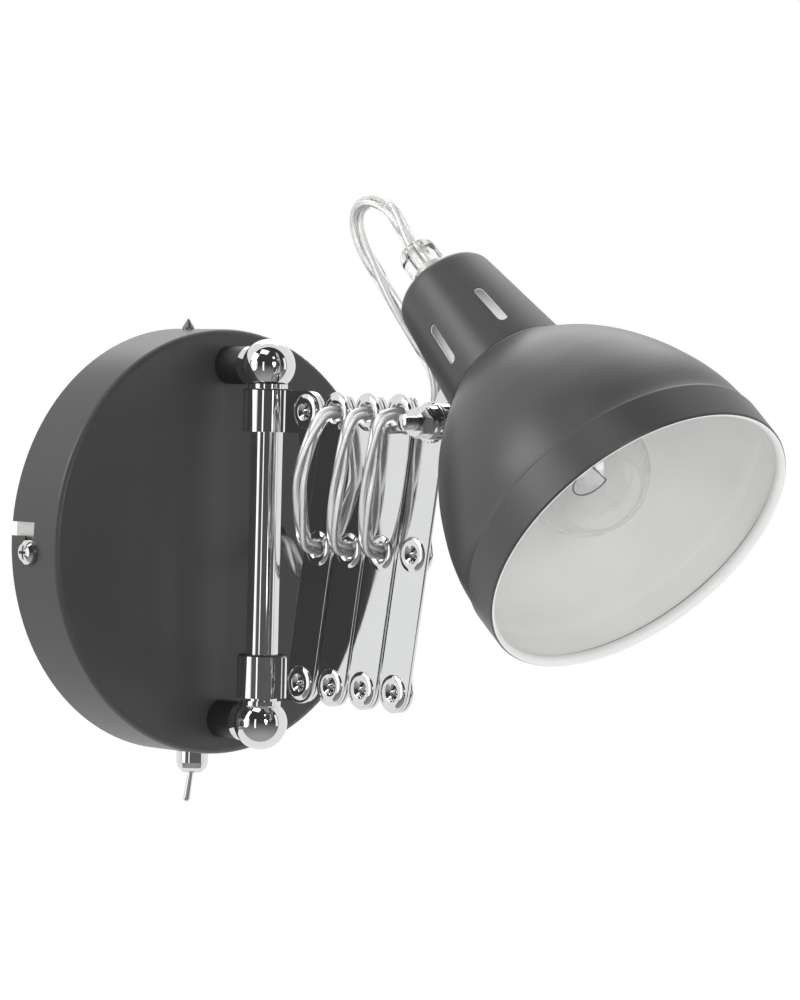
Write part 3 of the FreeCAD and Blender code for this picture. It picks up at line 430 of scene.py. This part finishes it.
CHROME = (0.72, 0.725, 0.73)
chrome = metal("polished_chrome", CHROME, 0.025, 0.03)
strut_chrome = metal("strut_chrome", CHROME, 0.025, 0.03, wave=True)
dark_steel = metal("dark_steel", (0.22, 0.22, 0.225), 0.3, 0.1, grain=True)
zinc = metal("zinc_plate", (0.60, 0.60, 0.58), 0.28, 0.15, grain=True)
brass = metal("bright_brass", (0.80, 0.64, 0.34), 0.2, 0.1)
tinned = metal("tinned_wire", (0.86, 0.86, 0.85), 0.42, 0.1)

# %% Plastics, glass, ceramic
MOTTLE_SCALE = 300.0


def moulded(name, colour, roughness):
    f = Finish(name)
    mottle = f.noise(MOTTLE_SCALE, 3.0)
    tone = f.blend(mottle, tint(colour, 0.85), colour)
    return f.principled(tone, mottle * 0.1 + roughness, normal=f.bump(f.noise(4000.0, 2.0), GRAIN_DEPTH))


black_plastic = moulded("black_plastic", (0.022, 0.022, 0.022), 0.42)
white_plastic = moulded("white_plastic", (0.78, 0.78, 0.76), 0.35)
ceramic = moulded("glazed_ceramic", (0.82, 0.82, 0.80), 0.18)


def clear(name, colour, roughness, ior):
    f = Finish(name)
    haze = f.noise(400.0, 3.0)
    tone = f.blend(haze, tint(colour, 0.97), colour)
    return f.principled(tone, haze * 0.04 + roughness, transmission_weight=1.0, ior=ior)


clear_pvc = clear("clear_pvc", (0.97, 0.97, 0.96), 0.10, 1.38)
bulb_clear = clear("bulb_clear", (0.99, 0.99, 0.99), 0.0, 1.45)

# %% [markdown]
# The neck is black outside and white inside, a sheet apart. A mask tells them by their distance
# from the head's axis, measured against the neck's own taper. The lampholder, seen through the
# neck's slots, has a painted glow: an emission that stands in for the light coming up from the shade.

# %% Neck enamel, and the holder with a painted glow
NECK_FOOT_R, NECK_TOP_R, NECK_FOOT_S, NECK_EDGE_S = 24.1, 18.7, 84.3, 128.9


def two_sided_neck():
    f = Finish("neck_enamel")
    s, side, x = (f.along(MOUTH * MM, way) for way in (head_axis, head_side, Vector((1, 0, 0))))
    radius = (side ** 2.0 + x ** 2.0) ** 0.5
    taper = (NECK_TOP_R - NECK_FOOT_R) / (NECK_EDGE_S - NECK_FOOT_S)
    skin = (s - NECK_FOOT_S * MM) * taper + (NECK_FOOT_R - 0.5) * MM
    within = (radius < skin) * (s < (NECK_EDGE_S - 1.0) * MM)
    cloud = f.noise(CLOUD_SCALE, 4.0)
    black = f.blend(cloud, (0.045, 0.045, 0.046), (0.055, 0.055, 0.056))
    tone = f.blend(within, black, (0.87, 0.87, 0.86))
    return f.principled(tone, cloud * 0.08 + 0.32, normal=f.bump(f.noise(PEEL_SCALE, 2.0), PEEL_DEPTH))


neck_enamel = two_sided_neck()


PAINTED_GLOW_FROM_S, PAINTED_GLOW_TO_S = 95.0, 119.0


def ceramic_with_painted_glow():
    """Glazed ceramic with a painted glow inside the neck: an emission that stands in for the light that
    comes up from the shade.
    """
    f = Finish("ceramic_with_painted_glow")
    s = f.along(MOUTH * MM, head_axis)
    # Painted glow: emission on the holder inside the neck, strongest nearest the shade, standing in for
    # light from the shade.
    painted_glow_share = f.falling(s, PAINTED_GLOW_FROM_S * MM, PAINTED_GLOW_TO_S * MM) * (s > (NECK_FOOT_S + 1.5) * MM)
    mottle = f.noise(MOTTLE_SCALE, 3.0)
    return f.principled(f.blend(mottle, (0.70, 0.70, 0.68), (0.82, 0.82, 0.80)), mottle * 0.1 + 0.18,
                        emission_color=f.blend(painted_glow_share, (0, 0, 0), (0.5, 0.5, 0.5)), emission_strength=1.0)


holder_finish_painted_glow = ceramic_with_painted_glow()

# %% Finishes of the CAD pieces
by_finish = {
    black_enamel: ["canopy_cover"],
    neck_enamel: ["neck_cup"],
    chrome: ["cover_screws", "switch_nut", "switch_lever", "ball_upper", "ball_lower", "slide_tube",
             "sleeve_upper", "sleeve_lower", "lamp_nut", "nut_handle", "lock_disc", "washer", "spacer",
             "head_ear"],
    zinc: ["tip_screw_nut", "wall_plate", "standoff_screws", "ball_grub_screw", "switch_back_nut",
           "gland_nut"],
    dark_steel: ["tip_screw", "bulb_stem"],
    black_plastic: ["switch_body", "standoff_bushes", "sleeve_upper_liner", "sleeve_lower_liner"],
    white_plastic: ["terminal_block", "gland_nipple"],
    holder_finish_painted_glow: ["lamp_holder"],
    ceramic: ["shade_ring"],
    brass: ["bulb_cap"],
    clear_pvc: ["cable_grommet", "cable_gland"],
    bulb_clear: ["bulb_glass"],
}
for finish, names in by_finish.items():
    for name in names:
        mesh = nodes[name].data
        mesh.materials.clear()
        mesh.materials.append(finish)
print("CAD pieces with a finish", sum(len(names) for names in by_finish.values()))

# %% [markdown]
# ## The shade
# The real shade is spun from one sheet: a bell with a flat crown, a step above a nearly straight
# band, and a hem rolled inwards at the mouth. Its half section is two smooth lines a sheet apart,
# spun round the head's axis. The faces that look inwards get the white enamel.

# %% Shade
SHEET, BEAD_S, CROWN_S, CROWN_HOLE_R = 1.0, 15.0, 84.3, 14.4
DOME = [(15.6, 58.35), (28.0, 56.95), (42.0, 52.9), (56.0, 46.6), (68.0, 38.9), (77.0, 31.0),
        (82.4, 25.4)]


def curve_points(kind, places, resolution, settle):
    """Points along a smooth spline; settle(knot, place) puts each of its knots in its place."""
    curve = bpy.data.curves.new("line", "CURVE")
    curve.dimensions, curve.resolution_u = "3D", resolution
    spline = curve.splines.new(kind)
    knots = spline.bezier_points if kind == "BEZIER" else spline.points
    knots.add(len(places) - 1)
    for knot, place in zip(knots, places):
        settle(knot, place)
    if kind == "NURBS":
        spline.order_u, spline.use_endpoint_u = 3, True
    holder = add_object("line", curve)
    mesh = bpy.data.meshes.new_from_object(holder)
    out = [v.co.copy() for v in mesh.vertices]
    bpy.data.objects.remove(holder)
    bpy.data.meshes.remove(mesh)
    return out


def smooth_line(points):
    """A smooth line that passes through the given (height, radius) points."""
    def settle(knot, place):
        knot.co = (place[1], place[0], 0)
        knot.handle_left_type = knot.handle_right_type = "AUTO"

    return [(co.y, co.x) for co in curve_points("BEZIER", points, 5, settle)]


def set_in(line, by):
    """The same line nearer the axis, measured square to it."""
    out = []
    for i, (s, r) in enumerate(line):
        a, b = line[max(i - 1, 0)], line[min(i + 1, len(line) - 1)]
        n = math.hypot(b[0] - a[0], b[1] - a[1])
        out.append((s + by * (b[1] - a[1]) / n, r - by * (b[0] - a[0]) / n))
    return out


bell = smooth_line(DOME)
outside = [(0.1, 58.2), (0.35, 58.5), (0.75, 58.75), (6.0, 58.85), (BEAD_S - 0.9, 58.9),
           (BEAD_S - 0.3, 58.8)] + bell
crown = [(83.4, 24.6), (84.1, 24.15), (CROWN_S, 23.6), (CROWN_S, CROWN_HOLE_R),
         (CROWN_S - SHEET, CROWN_HOLE_R), (CROWN_S - SHEET, 22.0)]
hem = [(6.0, 57.7), (4.9, 57.65), (4.6, 57.3), (4.1, 56.75), (3.2, 56.35), (2.3, 56.25), (1.4, 56.45),
       (0.7, 56.95), (0.2, 57.6)]
inside = set_in(bell, SHEET)[::-1] + [(BEAD_S - 0.6, 57.75)] + hem
bm = turned([(r, s) for s, r in outside + crown + inside], Matrix.Identity(4), steps=180)
for face in bm.faces:
    middle_of = face.calc_center_median()
    outward = Vector((middle_of.x, middle_of.y, 0)).normalized()
    face.material_index = int(face.normal.dot(outward) < 0.3 and face.normal.z < 0.5)
bmesh.ops.transform(bm, matrix=HEAD, verts=bm.verts)
weigh(link("bell_shade", to_mesh("bell_shade", bm), [black_enamel, white_enamel], "lamp_head",
           ["shade"], 28))

# %% [markdown]
# ## Struts
# Each strut is a strip with fully rounded ends, blanked from plated steel, so its faces are flat
# mirrors and its edges a thin bright line. A circle's upper half is moved up to make the outline.

# %% Struts
BAR_W, BAR_T, BAR_BEVEL, LAYER = 15.0, 1.5, 0.22, 0.15
STACK = LAYER + BAR_T


def strut(name, a, b, x0, holes, body):
    """A strip from a to b, its lower face at x0, with holes as pairs of place and radius."""
    bm = bmesh.new()
    along = (b - a).normalized()
    ring = bmesh.ops.create_circle(bm, segments=72, radius=BAR_W / 2 * MM)["verts"]
    bmesh.ops.translate(bm, verts=[v for v in ring if v.co.y > 1e-6], vec=(0, (b - a).length * MM, 0))
    for centre_of, radius in holes:
        hole = bmesh.ops.create_circle(bm, segments=40, radius=radius * MM)["verts"]
        bmesh.ops.translate(bm, verts=hole, vec=(0, (centre_of - a).dot(along) * MM, 0))
    bmesh.ops.triangle_fill(bm, edges=bm.edges[:], use_beauty=True, use_dissolve=False, normal=(0, 0, 1))
    grown = bmesh.ops.extrude_face_region(bm, geom=bm.faces[:])["geom"]
    bmesh.ops.translate(bm, verts=[g for g in grown if isinstance(g, bmesh.types.BMVert)],
                        vec=(0, 0, BAR_T * MM))
    bmesh.ops.recalc_face_normals(bm, faces=bm.faces)
    rim = [e for e in bm.edges if e.calc_face_angle(0) > 1.0]
    bmesh.ops.bevel(bm, geom=rim, offset=BAR_BEVEL * MM, segments=3, profile=0.5, affect="EDGES",
                    material=-1, clamp_overlap=True)
    across = along.cross(Vector((1, 0, 0)))
    place = Matrix.Translation((a + Vector((x0, 0, 0))) * MM) @ axes(across, along, across.cross(along))
    bmesh.ops.transform(bm, matrix=place, verts=bm.verts)
    weigh(link(name, to_mesh(name, bm), strut_chrome, body, [name.replace("bar", "strut")]))


EYE, RIVET, BOLT = 3.9, 3.0, 3.0
for k in range(4):
    is_last = k == 3
    end = lamp_bolt_at if is_last else top(k + 1)
    strut("bar_rising_%d" % k, low(k), end, -STACK,
          [(low(k), RIVET), (middle(k), RIVET if is_last else EYE), (end, BOLT if is_last else EYE)],
          "rising_%d" % k)
    end = middle(k) if is_last else low(k + 1)
    holes = [(top(k), RIVET if k == 0 else EYE), (middle(k), RIVET if is_last else EYE)]
    strut("bar_falling_%d" % k, top(k), end, LAYER, holes + ([] if is_last else [(end, RIVET)]),
          "falling_%d" % k)

# %% [markdown]
# ## Rivets and eyelets
# Two kinds of fastener hold the struts. A rivet is blind, with a cone that narrows into a bore and
# leaves a bright ring round a dark centre. An eyelet is open right through with rolled rims, so
# the cable can pass. Both are turned, with soft corners.

# %% Rivets and eyelets
FLANGE_R, FLANGE_T, SHANK_T = 6.5, 0.9, 0.7
CONE_R, CONE_T, END_T = 3.3, 1.5, 1.5
PIVOT_ROUND = 0.35


def axle(middle_of):
    """Local Z along the pivot's axis."""
    return Matrix.Translation(middle_of * MM) @ axes((0, 1, 0), (0, 0, 1), (1, 0, 0))


def pivot_part(middle_of, bore, front_gap, back_gap, blind):
    """One fastener: its flange in front, its shank through both struts, its rim behind."""
    f, b = STACK + front_gap, STACK + back_gap
    shank = bore + (1.1 if blind else SHANK_T)
    out = [(6.3, -f - 0.45), (FLANGE_R, -f), (shank, -f), (shank, b), (6.1, b), (5.8, b + 0.55)]
    if blind:
        section = [(0, b + FLANGE_T - END_T), (bore, b + FLANGE_T - END_T), (bore, CONE_T - f - FLANGE_T),
                   (CONE_R, -f - FLANGE_T), (5.0, -f - FLANGE_T)] + out + [(2.6, b + FLANGE_T),
                                                                          (0, b + FLANGE_T)]
    else:
        section = [(bore, b + 0.6), (bore, -f - 0.5), (bore + 0.8, -f - FLANGE_T),
                   (5.1, -f - FLANGE_T)] + out + [(bore + 0.9, b + FLANGE_T)]
    return turned(section, axle(middle_of), PIVOT_ROUND, 48, closed=not blind)


RIVET_BORE, EYE_BORE, PLAY = 1.9, 3.2, 0.1
for k in range(4):
    parts = [pivot_part(low(k), RIVET_BORE, 0, PLAY, True)]
    if k == 3:
        parts.append(pivot_part(middle(k), RIVET_BORE, 0, PLAY, True))
    else:
        parts += [pivot_part(c, EYE_BORE, 0, PLAY, False) for c in (middle(k), top(k + 1))]
    link("pivots_%d" % k, to_mesh("pivots_%d" % k, *parts), chrome, "rising_%d" % k,
         ["rivets_rising_%d" % k])
link("first_pivot", to_mesh("first_pivot", pivot_part(top(0), RIVET_BORE, PLAY, 0, True)), chrome,
     "falling_0", ["rivet_falling_0"])

# %% [markdown]
# ## Lamp bolt
# The head turns on one bolt: a hexagon head on the far side and a threaded, chamfered end that
# stands out of the clamp nut. The thread's ridges are rings of the turned section.

# %% Lamp bolt
BOLT_R, BOLT_TIP, BOLT_SEAT, HEAD_T, HEAD_AF = 2.95, -15.7, 6.2, 4.0, 10.0
THREAD, RIDGES, THREAD_AT = 0.8, 8, BOLT_TIP + 0.6
section = [(0, BOLT_TIP), (BOLT_R - 1.0, BOLT_TIP), (BOLT_R - 0.45, BOLT_TIP + 0.4)]
for i in range(RIDGES):
    h = THREAD_AT + i * THREAD
    section += [(BOLT_R, h), (BOLT_R, h + 0.15), (BOLT_R - 0.42, h + THREAD / 2)]
section += [(BOLT_R, THREAD_AT + RIDGES * THREAD), (BOLT_R, BOLT_SEAT), (0, BOLT_SEAT)]
shank = turned(section, axle(lamp_bolt_at), 0.0, 48, closed=False)
six = bmesh.new()
corner_r = HEAD_AF / math.sqrt(3) * MM
bmesh.ops.create_cone(six, cap_ends=True, segments=6, radius1=corner_r, radius2=corner_r, depth=HEAD_T * MM)
bmesh.ops.bevel(six, geom=six.edges[:], offset=0.35 * MM, segments=2, profile=0.5, affect="EDGES",
                material=-1)
head_at = lamp_bolt_at + Vector((BOLT_SEAT + HEAD_T / 2, 0, 0))
bmesh.ops.transform(six, matrix=axle(head_at), verts=six.verts)
weigh(link("head_bolt", to_mesh("head_bolt", shank, six), chrome, "lamp_head", ["lamp_bolt"]))

# %% [markdown]
# ## The cable
# One clear two-core cable is laced through the arm: in front of the arm from each upper eyelet
# down to the middle one, behind it up to the next upper eyelet, and at last in a high loop over
# the head. Each stretch is a smooth NURBS line, given a soft PVC skin and two tinned cores that
# twist slowly round each other.

# %% Cable helpers
CABLE_R, CORE_R, CORE_OFF, CORE_PITCH = 2.6, 1.05, 1.1, 75.0


def smooth_route(points):
    """A smooth line that is drawn towards its points, which are in millimetres, in metres."""
    def settle(knot, place):
        knot.co = (*(Vector(place) * MM), 1)

    return curve_points("NURBS", points, 6, settle)


def way_at(path, i):
    return (path[min(i + 1, len(path) - 1)] - path[max(i - 1, 0)]).normalized()


def tube_along(path, radius, sides):
    """A tube whose rings are extruded from point to point along a path."""
    bm = bmesh.new()
    for i, here in enumerate(path):
        way = way_at(path, i)
        if i == 0:
            turn = Vector((0, 0, 1)).rotation_difference(way)
            made = bmesh.ops.create_circle(bm, segments=sides, radius=radius)["verts"]
            bmesh.ops.rotate(bm, verts=made, cent=(0, 0, 0), matrix=turn.to_matrix())
            bmesh.ops.translate(bm, verts=made, vec=here)
            ring = bm.edges[:]
        else:
            grown = bmesh.ops.extrude_edge_only(bm, edges=ring)["geom"]
            made = [g for g in grown if isinstance(g, bmesh.types.BMVert)]
            ring = [g for g in grown if isinstance(g, bmesh.types.BMEdge) and g.verts[0] in made
                    and g.verts[1] in made]
            bend = last_way.rotation_difference(way)
            bmesh.ops.rotate(bm, verts=made, cent=last, matrix=bend.to_matrix())
            bmesh.ops.translate(bm, verts=made, vec=here - last)
        last, last_way = here, way
    bmesh.ops.recalc_face_normals(bm, faces=bm.faces)
    return bm


def core_path(path, phase):
    """A line that winds round another one at the cores' distance."""
    out, run = [], 0.0
    side = (path[1] - path[0]).orthogonal().normalized()
    for i, here in enumerate(path):
        way = way_at(path, i)
        side = (side - way * side.dot(way)).normalized()
        if i:
            run += (here - path[i - 1]).length
        angle = phase + run / (CORE_PITCH * MM) * math.tau
        outward = side * math.cos(angle) + way.cross(side) * math.sin(angle)
        out.append(here + outward * CORE_OFF * MM)
    return out


def cable(name, points, bodies, stands_for=(), bend=None):
    """A stretch of the cable, its skin and its two cores: on one body, or, when bend is given, on none with
    its place baked in.
    """
    path = smooth_route(points)
    length = sum((b - a).length for a, b in zip(path, path[1:]))
    print(name, "length", round(length / MM, 1), "mm")
    parts = [(name, path, CABLE_R, 20, clear_pvc)]
    parts += [(name + "_core_%d" % i, core_path(path, i * math.pi), CORE_R, 10, tinned) for i in (0, 1)]
    for label, line, radius, sides, finish in parts:
        mesh = to_mesh(label, tube_along(line, radius * MM, sides))
        piece = link(label, mesh, finish, None if bend else bodies[0])
        if bend:
            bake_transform(piece)
        if stands_for and label == name:
            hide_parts(*stands_for)

# %% [markdown]
# The front loops hang between two eyelets of one strut and move with it. The stretches behind the
# arm, the wall run and the head loop run between two bodies and are left on none, in place.

# %% Cable stretches
OUT_X, EXIT, TURN = 9.6, 6.2, 3.4


def beside(p, x, dy=0.0, dz=0.0):
    return Vector((x, p.y + dy, p.z + dz))


def leave(p, way, side, straight=EXIT):
    """Out of an eyelet on one side of the arm, then turning towards the unit vector way."""
    q = p + way * TURN
    return [beside(p, 0), beside(p, side * straight), beside(q, side * (straight + TURN))]


def front_loop(k, bulge, sag, straight):
    """From an upper eyelet down to the middle one, as far out as bulge, fullest at sag."""
    a, b = top(k + 1), middle(k)
    down = (b - a).normalized()
    on = lambda share, x: beside(a + (b - a) * share, -x)
    shoulder = straight + TURN + 0.55 * (bulge - straight - TURN)
    return leave(a, down, -1, straight) + [
        on(0.2, shoulder), on(0.14 + 0.5 * sag, bulge), on(0.2 + 0.68 * sag, bulge * 0.99)
    ] + leave(b, -down, -1)[::-1]


LOOPS = ((15.0, 0.55, EXIT), (11.6, 0.8, EXIT), (12.0, 0.7, EXIT + 1.4))
for k, shape in enumerate(LOOPS):
    cable("front_loop_%d" % k, front_loop(k, *shape), ["rising_%d" % k], ["cable_front_%d" % k])

for k in (0, 1):
    a, b = middle(k), top(k + 2)
    rise = (b - a).normalized()
    points = leave(a, rise, 1) + [
        beside(a, OUT_X + 0.4, -5.5, 13.0), beside(b, OUT_X + 0.4 - 1.8 * k, 6.5 + 2.5 * k, -14.0)
    ] + leave(b, -rise, 1)[::-1]
    cable("back_run_%d" % k, points, ["falling_%d" % k, "rising_%d" % (k + 1)], ["cable_back_%d" % k],
          (a, b))

from_bolt = lambda x, y, z: lamp_bolt_at + Vector((x, y, z))
JOINT, JOINT_WAY = from_bolt(8.8, 14.5, -11.34), Vector((0.5, -2.2, 9.0))
last = middle(2)
points = leave(last, Vector((0, -0.42, 0.9)).normalized(), 1) + [
    beside(last, OUT_X, -7.0, 14.0), JOINT - JOINT_WAY, JOINT]
cable("back_run_2", points, ["falling_2", "rising_3"], ["cable_back_2"],
      (last + Vector((0, -1.5, 6.0)), JOINT))

# %% [markdown]
# The wall run is one cable in three stretches: from the wall past the arm's swing sleeve, then
# along the first strut, then to the strut whose eyelet it enters.

# %% Wall run and head loop
first = top(1)
SWING_END, STRUT_END = Vector((10.8, -65.0, -7.0)), Vector((9.4, -78.2, 20.0))
to_tube = [Vector(p) for p in ((24.0, -14.0, 2.0), (24.0, -33.5, 2.0), (20.0, -43.5, -5.5),
                               (14.6, -55.0, -13.0))] + [SWING_END]
to_strut = [SWING_END, Vector((9.8, -72.6, 6.0)), STRUT_END]
to_eyelet = [STRUT_END, beside(first, 9.8, 4.2, -13.0)]
to_eyelet += leave(first, Vector((0, 0.3, -1)).normalized(), 1)[::-1]
cable("wall_run", to_tube, ["wall_unit", "swing_sleeve"], ["cable_wall_run"], (to_tube[1], SWING_END))
cable("wall_run_rise", to_strut, ["swing_sleeve", "falling_0"], (), (SWING_END, STRUT_END))
cable("wall_run_end", to_eyelet, ["falling_0", "rising_0"], (), (STRUT_END, to_eyelet[-1]))

OVER_HEAD = ((10.5, 6.84, 13.66), (6.5, 23.64, 36.66), (5.0, 37.84, 53.66), (3.0, 46.04, 65.66),
             (1.4, 46.34, 76.06), (0.2, 37.14, 80.26), (0, 26.14, 77.26), (0, 18.84, 68.86))
GLAND_TOP_S, GLAND_END_S = 152.7, 142.0
points = [JOINT, JOINT + JOINT_WAY] + [from_bolt(*p) for p in OVER_HEAD] + [
    on_axis(GLAND_TOP_S), on_axis(GLAND_END_S)]
cable("head_loop", points, ["rising_3", "lamp_head"], ["cable_head_loop"],
      (JOINT, JOINT + Vector((0, -33.2, 19.3))))
